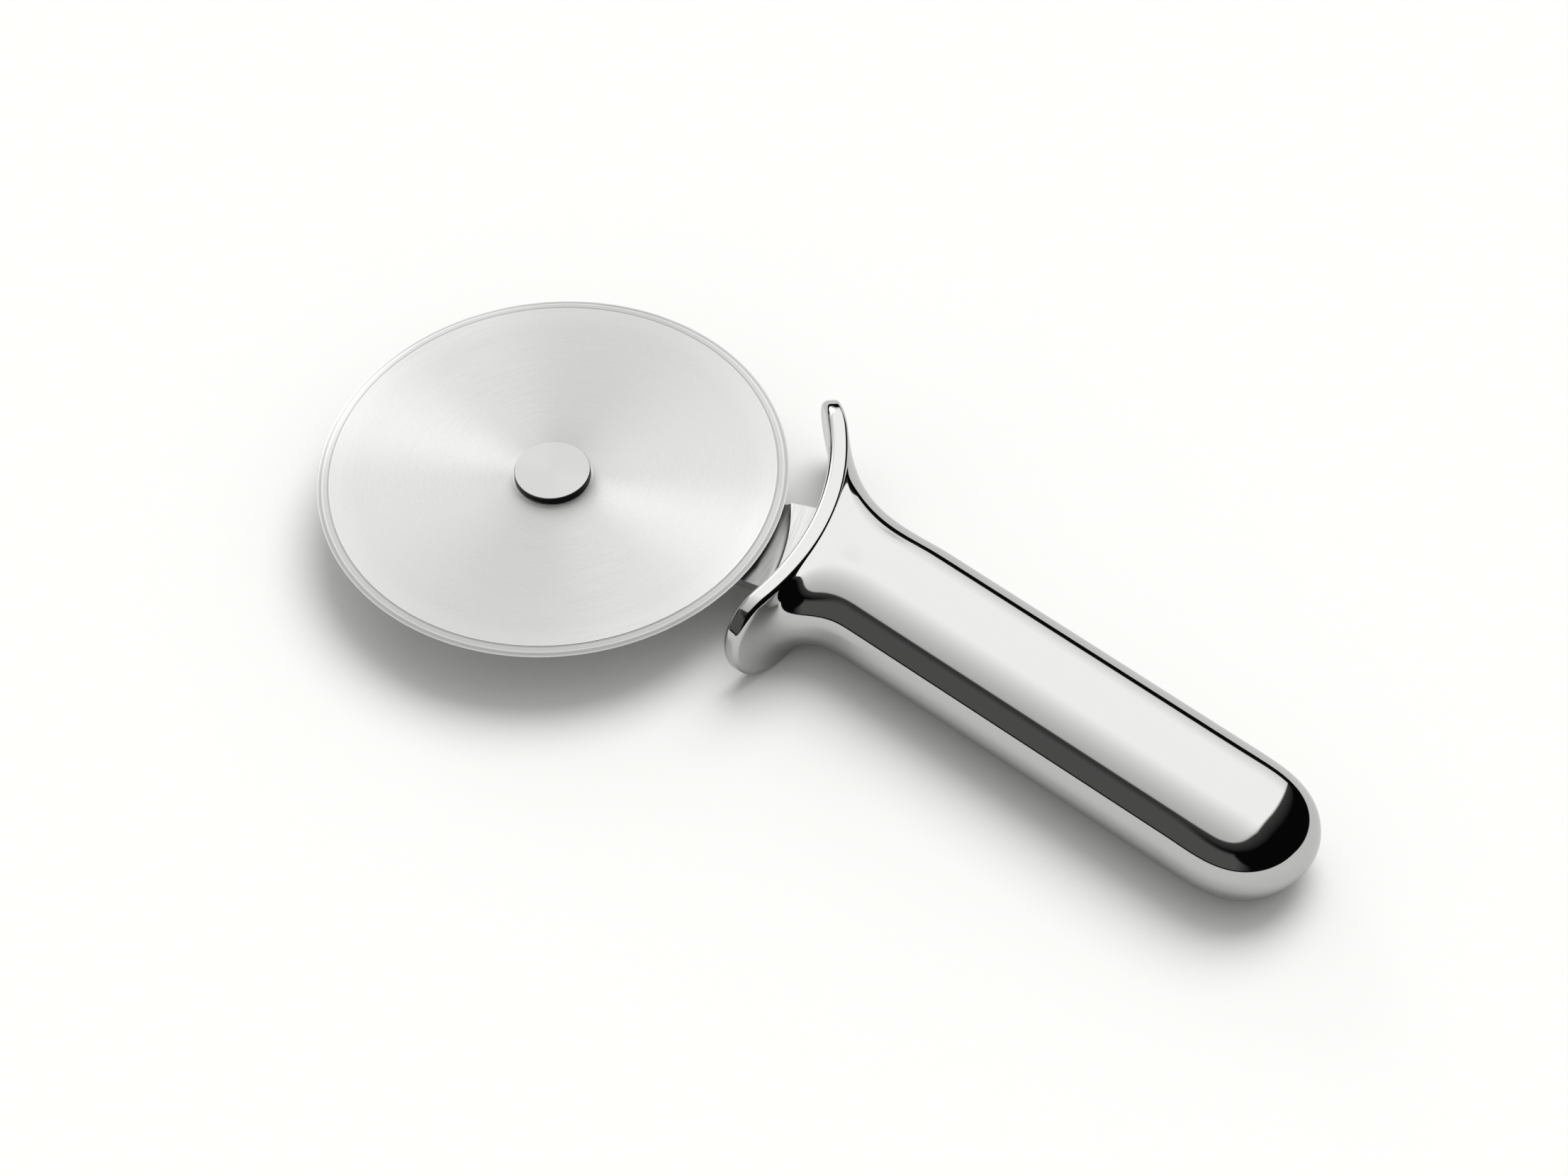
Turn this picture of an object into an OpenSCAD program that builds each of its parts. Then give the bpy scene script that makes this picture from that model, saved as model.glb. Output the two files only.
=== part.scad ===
// Pizza cutter: a wheel that runs free on a one-sided arm, and a hollow handle
// whose flared front is a finger guard, struck round the wheel's axle.
// It lies on the table as it is put away: z = 0 is the table, the wheel is flat,
// the handle runs along +X, and x = y = 0 is the middle of its footprint.

/* [Wheel] */
// Diameter of the cutting wheel
wheel_d = 100; // [80:1:120]
// Thickness of the wheel's disc
wheel_t = 1.5; // [1.2:0.1:2]
// Height of the wheel's upper face above the table
wheel_h = 15.3; // [14:0.1:17]
// Width of the ground bevel, along the radius
bevel_w = 2.3; // [1.5:0.1:4]
// Width of the honed strip at the cutting edge, along the radius
hone_w = 0.9; // [0.4:0.1:1.2]
// Thickness of the disc where the honed strip starts
hone_t = 0.8; // [0.4:0.1:1]
// Thickness left at the cutting edge
edge_t = 0.1; // [0.05:0.05:0.2]

/* [Hub] */
// Diameter of the polished cap over the axle
cap_d = 16.2; // [15:0.1:18]
// Thickness of the cap
cap_t = 1.55; // [1.2:0.05:2.5]
// Chamfer round the cap's edge
cap_chamfer = 0.15; // [0.1:0.05:0.3]
// Diameter of the axle
axle_d = 6; // [5:0.1:7]
// Depth of the axle's seat in the arm
seat_depth = 2.4; // [2:0.1:2.6]
// Outer diameter of the bush pressed in the wheel
bush_d = 10; // [9:0.1:11]
// Outer diameter of the thrust washers
washer_d = 14; // [12:0.1:14.5]
// Thickness of the washer under the cap
front_washer_t = 0.35; // [0.3:0.05:0.6]
// Thickness of the washer on the arm
back_washer_t = 0.45; // [0.3:0.05:0.6]
// Free play on each side of the wheel, along the axle
play = 0.05; // [0.03:0.01:0.1]
// Running clearance of the axle in the bush, on the radius
running_gap = 0.05; // [0.02:0.01:0.1]

/* [Axle screw] */
// Diameter of the screw's shank
screw_d = 3; // [2.5:0.1:3.4]
// Diameter of the countersunk head
screw_head_d = 5.6; // [5:0.1:6]
// Depth to which the screw runs into the axle
screw_grip = 3.4; // [2.5:0.1:3.8]
// Width of the hexagon socket across its flats
socket_w = 2; // [1.5:0.1:2.2]
// Depth of the hexagon socket
socket_depth = 1.2; // [0.8:0.1:1.4]

/* [Arm] */
// Angle between the arm and the handle's axis, in degrees
arm_angle = 19.2; // [14:0.2:23]
// Width of the arm at the hub
arm_hub_w = 20.6; // [19:0.1:23]
// Width of the arm where it meets the guard
arm_root_w = 24.4; // [22:0.1:28]
// Thickness of the arm under the wheel
arm_t = 2.8; // [2.4:0.1:3.4]
// Rise from the scoop's floor to the land in front of the guard
land_rise = 1.2; // [0.8:0.1:1.6]
// Room between the wheel's edge and the scoop's edge, at the arm's far side
scoop_gap = 1.2; // [1:0.1:3]
// Distance from the axle to the point that the scoop's edge is struck round
scoop_shift = 11.9; // [6:0.1:14]
// Angle of that point from the handle's axis, towards the near side, in degrees
scoop_turn = 40; // [30:1:50]
// Width of the scoop's curved side, along its radius
scoop_side_w = 2.4; // [1:0.1:2.8]
// Diameter of the boss under the hub
boss_d = 17; // [14:0.1:18]
// Height of the boss under the hub
boss_h = 1.6; // [1.4:0.1:2]
// Chamfer round the boss and the arm's underside
arm_chamfer = 0.4; // [0.2:0.1:0.6]
// Width of the tang inside the handle
tang_w = 16; // [12:0.5:18]
// Thickness of the tang
tang_t = 3; // [2.4:0.1:3.4]
// Length of the tang behind the guard's face
tang_l = 46; // [36:1:60]

/* [Guard] */
// Gap between the wheel's edge and the guard's face
guard_gap = 8.8; // [7:0.1:12]
// Width of the guard's face, along its arc
guard_w = 71.7; // [62:0.1:80]
// Growth of that width for each step away from the axle, at the far end
guard_spread = 0.8; // [0:0.05:1]
// Height of the guard
guard_h = 22.6; // [20:0.1:24]
// Thickness of the guard's rim, along the radius
guard_t = 4.2; // [3.8:0.1:6]
// Radius of the guard's rounded ends, seen from the wheel
guard_corner_r = 10.6; // [5:0.1:11]
// Radius that breaks the guard's front edge
guard_front_r = 1.5; // [0.8:0.1:1.8]
// Height of the rounding on the guard's back edge
guard_back_r = 0.8; // [0.5:0.1:1.5]
// Length of that rounding, along the radius
guard_back_l = 1.3; // [0.8:0.1:2]
// Distance by which the guard's middle stands off the handle's axis, along the arc
guard_shift = 3.1; // [0:0.1:6]
// Wall of the guard's rim, round the plate
rim_wall = 2; // [1.9:0.1:2.6]
// Thickness of the plate that closes the guard's face
plate_t = 2; // [1.5:0.1:2.5]

/* [Handle] */
// Distance of the handle's axis from the wheel's axle, at the guard
axis_offset = 21.9; // [18:0.1:24]
// Distance by which the grip's rear stands further off the axle than its front
grip_lean = 0.4; // [0:0.1:2]
// Length of the handle behind the guard's face
handle_l = 138.5; // [120:0.1:160]
// Width of the grip behind the guard
grip_front_w = 31.6; // [28:0.1:36]
// Thickness of the grip behind the guard
grip_front_h = 23.2; // [22.6:0.1:26]
// Width of the grip in front of its domed end
grip_rear_w = 32.5; // [28:0.1:36]
// Thickness of the grip in front of its domed end
grip_rear_h = 24; // [23:0.1:27]
// Length of the flare from the guard's face to the grip
flare_l = 25.2; // [20:0.1:34]
// Length of the domed end
dome_l = 23.5; // [18:0.1:30]
// Wall thickness of the pressed shells
wall_t = 1.3; // [1.2:0.1:1.6]

/* [Hidden] */
$fn = 96;

// Facets of the wheel and of the long arcs round the axle
wheel_facets = 240;

// Overrun of every cut past the face that it leaves
cut = 1;
// Clearance of pieces that are fitted and fixed: seats, slot and screw hole
seat_gap = 0.05;
// Gap between the guard plate and the shells, and round the filler
weld_gap = 0.15;

// Heights above the table, from the wheel down
wheel_r = wheel_d / 2;
wheel_under = wheel_h - wheel_t;
cap_under = wheel_h + play + front_washer_t;
arm_top = wheel_under - play - back_washer_t;
arm_under = arm_top - arm_t;
land_top = arm_top + land_rise;
boss_under = arm_under - boss_h;
axle_under = arm_top - seat_depth;
tang_middle = (land_top + arm_under) / 2;

// Character of the handle's curves: exponents and shares, chosen by eye
grip_power = 2.3;
near_flare_power = 2.6;
far_flare_power = 3.8;
arc_power = 3.2;
rise_power = 4.4;
soften_power = 1.5;
rim_soft_share = 0.35;
dome_power = 2.06;
dome_blunt_power = 3.7;
corner_crowding = 0.45;
arm_widening_power = 4;

// Steps of the handle's net of facets
edge_steps = 3;
flare_steps = 11;
dome_steps = 8;
side_steps = 26;
scoop_steps = 10;
arm_steps = 12;

// The guard's arc and the handle's stations along X, from the wheel's axle
guard_r = wheel_r + guard_gap;
guard_back = guard_r + guard_t;
guard_mid = arc_length(guard_r, asin(axis_offset / guard_r)) + guard_shift;
face_x = sqrt(pow(guard_r, 2) - pow(axis_offset, 2));
grip_x = face_x + flare_l;
end_x = face_x + handle_l;
dome_x = end_x - dome_l;

// Place of the wheel's axle, which brings the footprint's middle to the origin
far_y = max(wheel_r, max([
    for (st = rim_stations(0, guard_front_r, guard_back))
        st[6] * sin(arc_angle(st[6], st[4] + st[0]))
]));
hub_x = (wheel_r - end_x) / 2;
hub_y = (wheel_r - far_y) / 2;

function mix(a, b, share) = a + (b - a) * share;

// Angle that a length along an arc turns through, and the length of such an angle
function arc_angle(r, length) = length / r * 180 / PI;
function arc_length(r, angle) = r * angle * PI / 180;

// Direction of step j of a half section, crowded towards the corners
function net_angle(j) =
    let (u = 180 * j / side_steps)
    u + corner_crowding * sin(4 * u) * 45 / PI;

// How far a direction reaches to a rounded rectangle of half sizes a and b
function box_reach(c, s, a, b, r) =
    let (
        dy = a * c, dz = b * s, cy = a - r, cz = b - r,
        dd = dy * dy + dz * dz, dc = dy * cy + dz * cz
    )
    s > 0 && dy <= cy * s ? 1 / s :
    c > 0 && dz <= cz * c ? 1 / c :
    (dc + sqrt(dc * dc - dd * (cy * cy + cz * cz - r * r))) / dd;

// How far it reaches to an oval of the grip's power
function oval_reach(c, s) = pow(pow(c, grip_power) + pow(s, grip_power), -1 / grip_power);

// A station is [half width, half height, corner, softness, middle across, middle z,
// arc radius, share of the arc, flat x]; softness 0 is a box and 1 an oval, and the
// width lies along the arc as far as the station follows it
function net_point(st, angle) =
    let (
        c = abs(cos(angle)), s = abs(sin(angle)),
        box = box_reach(c, s, st[0], st[1], min(st[0], st[1], st[2])),
        reach = mix(box, oval_reach(c, s), st[3]),
        across = st[4] + st[0] * cos(angle) * reach,
        turn = arc_angle(st[6], across)
    )
    [
        hub_x + mix(st[8], st[6] * cos(turn), st[7]),
        hub_y + mix(across, st[6] * sin(turn), st[7]),
        st[5] + st[1] * sin(angle) * reach
    ];

// One station of the guard's rim at a radius, and its share of the back's rounding
function rim_station(inset, r, round_share) =
    let (growth = guard_spread * (r - guard_r))
    [
        mix(guard_w + growth, guard_w - 2 * guard_back_r, round_share) / 2 - inset,
        guard_h / 2 - inset, guard_corner_r - inset, rim_soft_share * round_share,
        guard_mid + mix(growth, 0, round_share) / 2, guard_h / 2, r, 1, 0
    ];

// Stations of the guard's rim, from its broken front edge to its rounded back
function rim_stations(inset, edge, back_r) =
    let (round_l = min(guard_back_l, back_r - guard_r - guard_front_r - weld_gap))
    [
        for (i = [0 : edge_steps])
            let (turn = 90 * i / edge_steps, front_r = guard_r + guard_front_r * (1 - cos(turn)))
            rim_station(inset + edge * (1 - sin(turn)), front_r, 0),
        for (i = [0 : edge_steps])
            let (turn = 90 * i / edge_steps)
            rim_station(inset, back_r - round_l * (1 - sin(turn)), 1 - cos(turn))
    ];

// Stations of the flare, from the guard's back to the grip
function flare_stations(inset, back_r) = [
    for (i = [1 : flare_steps])
        let (
            turn = 90 * i / flare_steps,
            far_share = 1 - pow(sin(turn), 2 / far_flare_power),
            near_share = 1 - pow(sin(turn), 2 / near_flare_power),
            low_share = 1 - pow(sin(turn), 2 / rise_power),
            arc_share = i < flare_steps ? pow(cos(turn), 2 / arc_power) : 0,
            reach = guard_w / 2 - guard_back_r,
            far = mix(axis_offset + grip_front_w / 2, guard_mid + reach, far_share),
            near = mix(axis_offset - grip_front_w / 2, guard_mid - reach, near_share),
            h = mix(grip_front_h, guard_h, low_share)
        )
        [
            (far - near) / 2 - inset, h / 2 - inset, guard_corner_r - inset,
            1 - (1 - rim_soft_share) * pow(1 - i / flare_steps, soften_power),
            (far + near) / 2, h / 2, back_r, arc_share, grip_x
        ]
];

// A station of the straight grip at a distance from the axle, shrunk by a share k
function grip_station(inset, x, k) =
    let (
        share = (x - grip_x) / (dome_x - grip_x),
        w = mix(grip_front_w, grip_rear_w, share), h = mix(grip_front_h, grip_rear_h, share)
    )
    [
        (w / 2 - inset) * k, (h / 2 - inset) * k, (guard_corner_r - inset) * k, 1,
        axis_offset + grip_lean * share, h / 2, guard_back, 0, x
    ];

// Stations of the domed end, short of its tip
function dome_stations(inset) = [
    for (i = [0 : dome_steps - 1])
        let (
            turn = 90 * i / dome_steps,
            st = grip_station(inset, dome_x, pow(cos(turn), 2 / dome_power))
        )
        [
            for (k = [0 : len(st) - 2]) st[k],
            dome_x + (dome_l - inset) * pow(sin(turn), 2 / dome_blunt_power)
        ]
];

function dome_tip(inset) =
    [hub_x + end_x - inset, hub_y + axis_offset + grip_lean, grip_rear_h / 2];

// One pressed half shell: side is 1 for the upper one and -1 for the lower one
module half_shell(side) {
    outer = concat(
        rim_stations(0, guard_front_r, guard_back),
        flare_stations(0, guard_back), dome_stations(0)
    );
    inner = concat(
        rim_stations(rim_wall, 0, guard_back - wall_t),
        flare_stations(wall_t, guard_back - wall_t), dome_stations(wall_t)
    );
    last = len(outer) - 1;
    row = side_steps + 1;
    sheet = len(outer) * row;
    tip = 2 * sheet;
    quads = concat(
        [for (i = [0 : last - 1], j = [0 : side_steps - 1])
            [i * row + j, (i + 1) * row + j, (i + 1) * row + j + 1, i * row + j + 1]],
        [for (i = [0 : last - 1], j = [0 : side_steps - 1])
            sheet * [1, 1, 1, 1]
                + [i * row + j, i * row + j + 1, (i + 1) * row + j + 1, (i + 1) * row + j]],
        [for (i = [0 : last - 1])
            [i * row, sheet + i * row, sheet + (i + 1) * row, (i + 1) * row]],
        [for (i = [0 : last - 1])
            side_steps * [1, 1, 1, 1]
                + [i * row, (i + 1) * row, sheet + (i + 1) * row, sheet + i * row]],
        [for (j = [0 : side_steps - 1])
            [j, j + 1, sheet + j + 1, sheet + j]],
        [[last * row, sheet + last * row, tip + 1, tip]],
        [[last * row + side_steps, tip, tip + 1, sheet + last * row + side_steps]]
    );
    fans = concat(
        [for (j = [0 : side_steps - 1]) [last * row + j, tip, last * row + j + 1]],
        [for (j = [0 : side_steps - 1])
            [sheet + last * row + j, sheet + last * row + j + 1, tip + 1]]
    );
    faces = concat(
        [for (q = quads) [q[0], q[1], q[2]]],
        [for (q = quads) [q[0], q[2], q[3]]],
        fans
    );
    polyhedron(
        points = concat(
            [for (st = outer, j = [0 : side_steps]) net_point(st, side * net_angle(j))],
            [for (st = inner, j = [0 : side_steps]) net_point(st, side * net_angle(j))],
            [dome_tip(0), dome_tip(wall_t)]
        ),
        faces = side > 0 ? faces : [for (f = faces) [f[2], f[1], f[0]]]
    );
}

// A closed solid through the stations, with end faces made of upright strips
module net_solid(stations) {
    row = 2 * side_steps;
    last = (len(stations) - 1) * row;
    strips = concat(
        [[0, 1, row - 1]],
        [for (j = [1 : side_steps - 2]) [j, j + 1, row - j - 1]],
        [for (j = [1 : side_steps - 2]) [j, row - j - 1, row - j]],
        [[side_steps - 1, side_steps, side_steps + 1]]
    );
    polyhedron(
        points = [for (st = stations, j = [0 : row - 1])
            net_point(st, j <= side_steps ? net_angle(j) : -net_angle(row - j))],
        faces = concat(
            [for (i = [0 : row : last - row], j = [0 : row - 1])
                [i + j, i + row + j, i + row + (j + 1) % row]],
            [for (i = [0 : row : last - row], j = [0 : row - 1])
                [i + j, i + row + (j + 1) % row, i + (j + 1) % row]],
            strips,
            [for (f = strips) last * [1, 1, 1] + [f[2], f[1], f[0]]]
        )
    );
}

// Moves a piece that is drawn round the axle to the axle's place
module at_hub() {
    translate([hub_x, hub_y, 0]) children();
}

// A flat ring between two heights
module ring(outer_d, inner_d, low, high) {
    difference() {
        translate([0, 0, low]) cylinder(d = outer_d, h = high - low);
        translate([0, 0, low - cut]) cylinder(d = inner_d, h = high - low + 2 * cut);
    }
}

// The wheel: a flat disc, ground to a bevel on both sides and honed at the rim
module blade() {
    bevel_r = wheel_r - bevel_w;
    hone_r = wheel_r - hone_w;
    middle = wheel_h - wheel_t / 2;
    color("gainsboro") at_hub() translate([0, 0, middle]) rotate_extrude($fn = wheel_facets)
        polygon([
            [bush_d / 2, wheel_t / 2], [bush_d / 2, -wheel_t / 2],
            [bevel_r, -wheel_t / 2], [hone_r, -hone_t / 2], [wheel_r, -edge_t / 2],
            [wheel_r, edge_t / 2], [hone_r, hone_t / 2], [bevel_r, wheel_t / 2]
        ]);
}

// Plain bearing pressed in the wheel, flush with both its faces
module blade_bush() {
    color("darkgoldenrod") at_hub()
        ring(bush_d, axle_d + 2 * running_gap, wheel_under, wheel_h);
}

// Turned cap and axle in one piece, tapped from below for the screw
module hub_cap() {
    tap_depth = screw_grip + cap_chamfer;
    color("silver") at_hub() difference() {
        union() {
            translate([0, 0, cap_under]) rotate_extrude()
                polygon([
                    [0, 0], [cap_d / 2, 0], [cap_d / 2, cap_t - cap_chamfer],
                    [cap_d / 2 - cap_chamfer, cap_t], [0, cap_t]
                ]);
            translate([0, 0, axle_under]) cylinder(d = axle_d, h = cap_under - axle_under);
        }
        translate([0, 0, axle_under - cut])
            cylinder(d = screw_d + 2 * seat_gap, h = tap_depth + cut);
    }
}

// Thrust washer between the cap and the wheel
module front_washer() {
    color("lightgray") at_hub()
        ring(washer_d, axle_d + 2 * running_gap, wheel_h + play, cap_under);
}

// Thrust washer between the wheel and the arm
module back_washer() {
    color("lightgray") at_hub()
        ring(washer_d, axle_d + 2 * running_gap, arm_top, arm_top + back_washer_t);
}

// Countersunk screw that holds the axle in the arm, flush with the boss
module axle_screw() {
    head_h = (screw_head_d - screw_d) / 2;
    socket_turn = 30;
    color("silver") at_hub() difference() {
        translate([0, 0, boss_under]) rotate_extrude()
            polygon([
                [0, 0], [screw_head_d / 2, 0], [screw_d / 2, head_h],
                [screw_d / 2, axle_under - boss_under + screw_grip],
                [0, axle_under - boss_under + screw_grip]
            ]);
        translate([0, 0, boss_under - cut]) rotate(socket_turn)
            cylinder(d = socket_w / cos(socket_turn), h = socket_depth + cut, $fn = 6);
    }
}

// Half width of the arm at a distance from the axle
function arm_half_w(r) =
    mix(arm_hub_w, arm_root_w, pow(r / guard_r, arm_widening_power)) / 2;

// Plan of the arm: round at the hub, widening to the guard's face
module arm_plan(inset) {
    far = guard_r + cut;
    circle(d = arm_hub_w - 2 * inset);
    polygon(concat(
        [for (i = [0 : arm_steps]) let (r = far * i / arm_steps) [r, arm_half_w(r) - inset]],
        [for (i = [arm_steps : -1 : 0]) let (r = far * i / arm_steps) [r, inset - arm_half_w(r)]]
    ));
}

// The tang leaves the arm through the plate's slot and bends along the handle
module tang(gap) {
    root = guard_r - cut;
    bend = guard_back;
    bend_x = bend * cos(arm_angle);
    w = tang_w + 2 * gap;
    h = tang_t + 2 * gap;
    translate([0, 0, tang_middle - h / 2]) linear_extrude(h) {
        rotate(arm_angle) translate([root, -w / 2]) square([bend - root, w]);
        translate([bend_x, bend * sin(arm_angle)]) circle(d = w);
        translate([bend_x, axis_offset - w / 2]) square([face_x + tang_l - bend_x, w]);
    }
}

// The scoop's edge is struck round a point beside the axle, so that it runs out from
// the wheel towards the arm's near side; it is closest to the wheel at the far side
module scoop() {
    reach = wheel_r + scoop_gap;
    far_angle = arm_angle + asin(arm_half_w(reach) / reach);
    middle = scoop_shift * [cos(scoop_turn), -sin(scoop_turn)];
    top_r = norm(reach * [cos(far_angle), sin(far_angle)] - middle);
    floor_r = top_r - scoop_side_w;
    translate(middle) rotate_extrude($fn = wheel_facets) polygon(concat(
        [[0, land_top + cut], [0, arm_top]],
        [for (i = [0 : scoop_steps])
            let (turn = 90 * i / scoop_steps)
            [floor_r + scoop_side_w * sin(turn), arm_top + land_rise * (1 - cos(turn))]],
        [[top_r, land_top + cut]]
    ));
}

// Forged arm that carries the wheel on one side, with its scoop, boss and tang
module arm() {
    head_h = (screw_head_d - screw_d) / 2;
    color("darkgray") at_hub() difference() {
        union() {
            intersection() {
                rotate(arm_angle) union() {
                    translate([0, 0, arm_under + arm_chamfer])
                        linear_extrude(land_top - arm_under - arm_chamfer) arm_plan(0);
                    translate([0, 0, arm_under]) linear_extrude(land_top - arm_under)
                        arm_plan(arm_chamfer);
                    translate([0, 0, boss_under]) rotate_extrude()
                        polygon([
                            [0, 0], [boss_d / 2 - arm_chamfer, 0], [boss_d / 2, arm_chamfer],
                            [boss_d / 2, boss_h], [0, boss_h]
                        ]);
                }
                translate([0, 0, boss_under - cut]) cylinder(
                    r = guard_r - weld_gap, h = land_top - boss_under + 2 * cut,
                    $fn = wheel_facets
                );
            }
            tang(0);
        }
        scoop();
        translate([0, 0, axle_under])
            cylinder(d = axle_d + 2 * seat_gap, h = seat_depth + cut);
        translate([0, 0, boss_under - cut])
            cylinder(d = screw_d + 2 * seat_gap, h = axle_under - boss_under + 2 * cut);
        translate([0, 0, boss_under - cut]) rotate_extrude()
            polygon([
                [0, 0], [screw_head_d / 2 + seat_gap, 0], [screw_head_d / 2 + seat_gap, cut],
                [screw_d / 2 + seat_gap, cut + head_h], [0, cut + head_h]
            ]);
    }
}

// Curved plate that closes the guard's face, slotted for the tang
module guard_plate() {
    inset = rim_wall + weld_gap;
    color("silver") difference() {
        net_solid([rim_station(inset, guard_r, 0), rim_station(inset, guard_r + plate_t, 0)]);
        at_hub() tang(seat_gap);
    }
}

// Upper half of the hollow handle, from the guard's rim to the domed end
module handle_upper_shell() {
    color("whitesmoke") half_shell(1);
}

// Lower half of the hollow handle, which rests on the table
module handle_lower_shell() {
    color("gainsboro") half_shell(-1);
}

// Resin cast in the throat of the hollow handle, which holds the tang
module tang_filler() {
    inset = wall_t + weld_gap;
    throat_inset = rim_wall + weld_gap;
    fill_x = face_x + tang_l + guard_t;
    throat_h = min(guard_h, grip_front_h);
    throat = [
        grip_front_w / 2 - throat_inset, throat_h / 2 - throat_inset,
        guard_corner_r - throat_inset, 1,
        axis_offset, throat_h / 2, guard_back, 0, guard_r + plate_t + weld_gap
    ];
    color("tan") difference() {
        net_solid([throat, grip_station(inset, grip_x, 1), grip_station(inset, fill_x, 1)]);
        at_hub() tang(0);
    }
}

blade();
blade_bush();
hub_cap();
front_washer();
back_washer();
axle_screw();
arm();
guard_plate();
handle_upper_shell();
handle_lower_shell();
tang_filler();
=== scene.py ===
import math

import bmesh
import bpy
import numpy as np
from mathutils import Matrix, Vector


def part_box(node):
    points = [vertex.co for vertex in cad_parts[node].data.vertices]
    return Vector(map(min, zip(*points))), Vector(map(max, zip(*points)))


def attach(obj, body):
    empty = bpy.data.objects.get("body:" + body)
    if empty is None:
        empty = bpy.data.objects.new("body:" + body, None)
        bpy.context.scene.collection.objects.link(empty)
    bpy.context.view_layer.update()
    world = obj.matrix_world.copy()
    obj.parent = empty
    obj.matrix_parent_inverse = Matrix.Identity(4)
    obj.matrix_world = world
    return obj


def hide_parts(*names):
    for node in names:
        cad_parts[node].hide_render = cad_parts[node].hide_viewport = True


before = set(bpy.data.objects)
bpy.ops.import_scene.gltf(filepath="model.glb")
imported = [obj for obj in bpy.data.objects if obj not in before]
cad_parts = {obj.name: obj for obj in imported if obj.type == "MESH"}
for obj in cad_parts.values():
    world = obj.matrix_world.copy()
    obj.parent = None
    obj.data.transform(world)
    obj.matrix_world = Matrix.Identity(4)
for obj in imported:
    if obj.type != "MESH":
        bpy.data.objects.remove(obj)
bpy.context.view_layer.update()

MM = 0.001


# The cutting wheel: a hardened stainless disc, brushed in rings on a turntable. A
# shallow step is cut where the bevel starts, and the rim is ground to a bevel on both
# sides and then honed. The wheel turns on the axle, so it rides on its own body.

def box_mm(name):
    """The two corners of a node's box, in millimetres."""
    low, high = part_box(name)
    return np.array(low) / MM, np.array(high) / MM


def radius_mm(name):
    low, high = box_mm(name)
    return (high - low)[0] / 2


def mesh_piece(name, points, faces, body, replaced, smooth_angle=35):
    """A piece from points in millimetres: smooth, riding on its body, with the parts it replaces
    hidden.
    """
    merge_mm = 0.0005
    mesh = bpy.data.meshes.new(name)
    build = bmesh.new()
    corners = [build.verts.new(p) for p in np.asarray(points, float) * MM]
    for face in faces:
        build.faces.new([corners[i] for i in face])
    bmesh.ops.remove_doubles(build, verts=build.verts, dist=merge_mm * MM)
    bmesh.ops.recalc_face_normals(build, faces=build.faces)
    build.to_mesh(mesh)
    build.free()
    mesh.shade_smooth()
    mesh.set_sharp_from_angle(angle=math.radians(smooth_angle))
    piece = bpy.data.objects.new(name, mesh)
    bpy.context.scene.collection.objects.link(piece)
    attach(piece, body)
    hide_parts(*replaced)
    return piece


def loop_faces(rows, steps, closed=False):
    """Quads between rows of points that each go once round."""
    pairs = [(i, i + 1) for i in range(rows - 1)] + ([(rows - 1, 0)] if closed else [])
    return [
        (a * steps + j, b * steps + j,
         b * steps + (j + 1) % steps, a * steps + (j + 1) % steps)
        for a, b in pairs for j in range(steps)
    ]


def break_edges(piece, width, angle):
    """Rounds a piece's sharp edges by a width in millimetres."""
    broken = piece.modifiers.new("broken edges", "BEVEL")
    broken.width = width * MM
    broken.segments = 2
    broken.limit_method = "ANGLE"
    broken.angle_limit = math.radians(angle)
    return broken


def spun_piece(name, profile, steps, body, replaced, edge=0.0):
    """A turned piece: profile is a closed line of (radius, height) round the axle.
    A radius may also be one value per step, as for a hexagon socket."""
    turn = np.arange(steps) * 2 * math.pi / steps
    rows = []
    for radius, height in profile:
        r = np.broadcast_to(np.maximum(radius, 0.0), (steps,))
        z = np.full(steps, height)
        rows.append(np.stack([hub_x + r * np.cos(turn), hub_y + r * np.sin(turn), z], 1))
    piece = mesh_piece(
        name, np.concatenate(rows), loop_faces(len(rows), steps, closed=True),
        body, replaced,
    )
    if edge:
        break_edges(piece, edge, 38).harden_normals = True
    return piece


blade_low, blade_high = box_mm("blade")
hub_x, hub_y = ((blade_low + blade_high) / 2)[:2]
wheel_r, bush_r = radius_mm("blade"), radius_mm("blade_bush")
wheel_top = blade_high[2]
wheel_mid = (wheel_top + blade_low[2]) / 2
wheel_half_t = (wheel_top - blade_low[2]) / 2
bevel_w, hone_w, hone_half_t, edge_half_t = 2.3, 0.9, 0.4, 0.05
groove_w, groove_depth, groove_wall = 0.22, 0.1, 0.06
bevel_r, hone_r = wheel_r - bevel_w, wheel_r - hone_w
# rings of points on the flat face, so that its shading stays even
flat_past_bush, flat_before_bevel = 9, 12


def wheel_side(sign):
    """Radius and height along one side of the disc, from the bush to the edge."""
    line = [
        (bush_r, wheel_half_t),
        (bush_r + flat_past_bush, wheel_half_t),
        (bevel_r - flat_before_bevel, wheel_half_t),
        (bevel_r - groove_w, wheel_half_t),
        (bevel_r - groove_w + groove_wall, wheel_half_t - groove_depth),
        (bevel_r, wheel_half_t - groove_depth),
        (hone_r, hone_half_t),
        (wheel_r, edge_half_t),
    ]
    return [(r, wheel_mid + sign * z) for r, z in line]


blade = spun_piece(
    "wheel_blade", wheel_side(1) + wheel_side(-1)[::-1], 360,
    "wheel", ["blade"],
)


def group(name, inputs, outputs):
    """An empty shader node group with named sockets; a value input has a default."""
    tree = bpy.data.node_groups.new(name, "ShaderNodeTree")
    for label, kind, default in inputs:
        socket = tree.interface.new_socket(label, in_out="INPUT", socket_type=kind)
        socket.default_value = default
    for label, kind in outputs:
        tree.interface.new_socket(label, in_out="OUTPUT", socket_type=kind)
    return tree, tree.nodes.new("NodeGroupInput"), tree.nodes.new("NodeGroupOutput")


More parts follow.
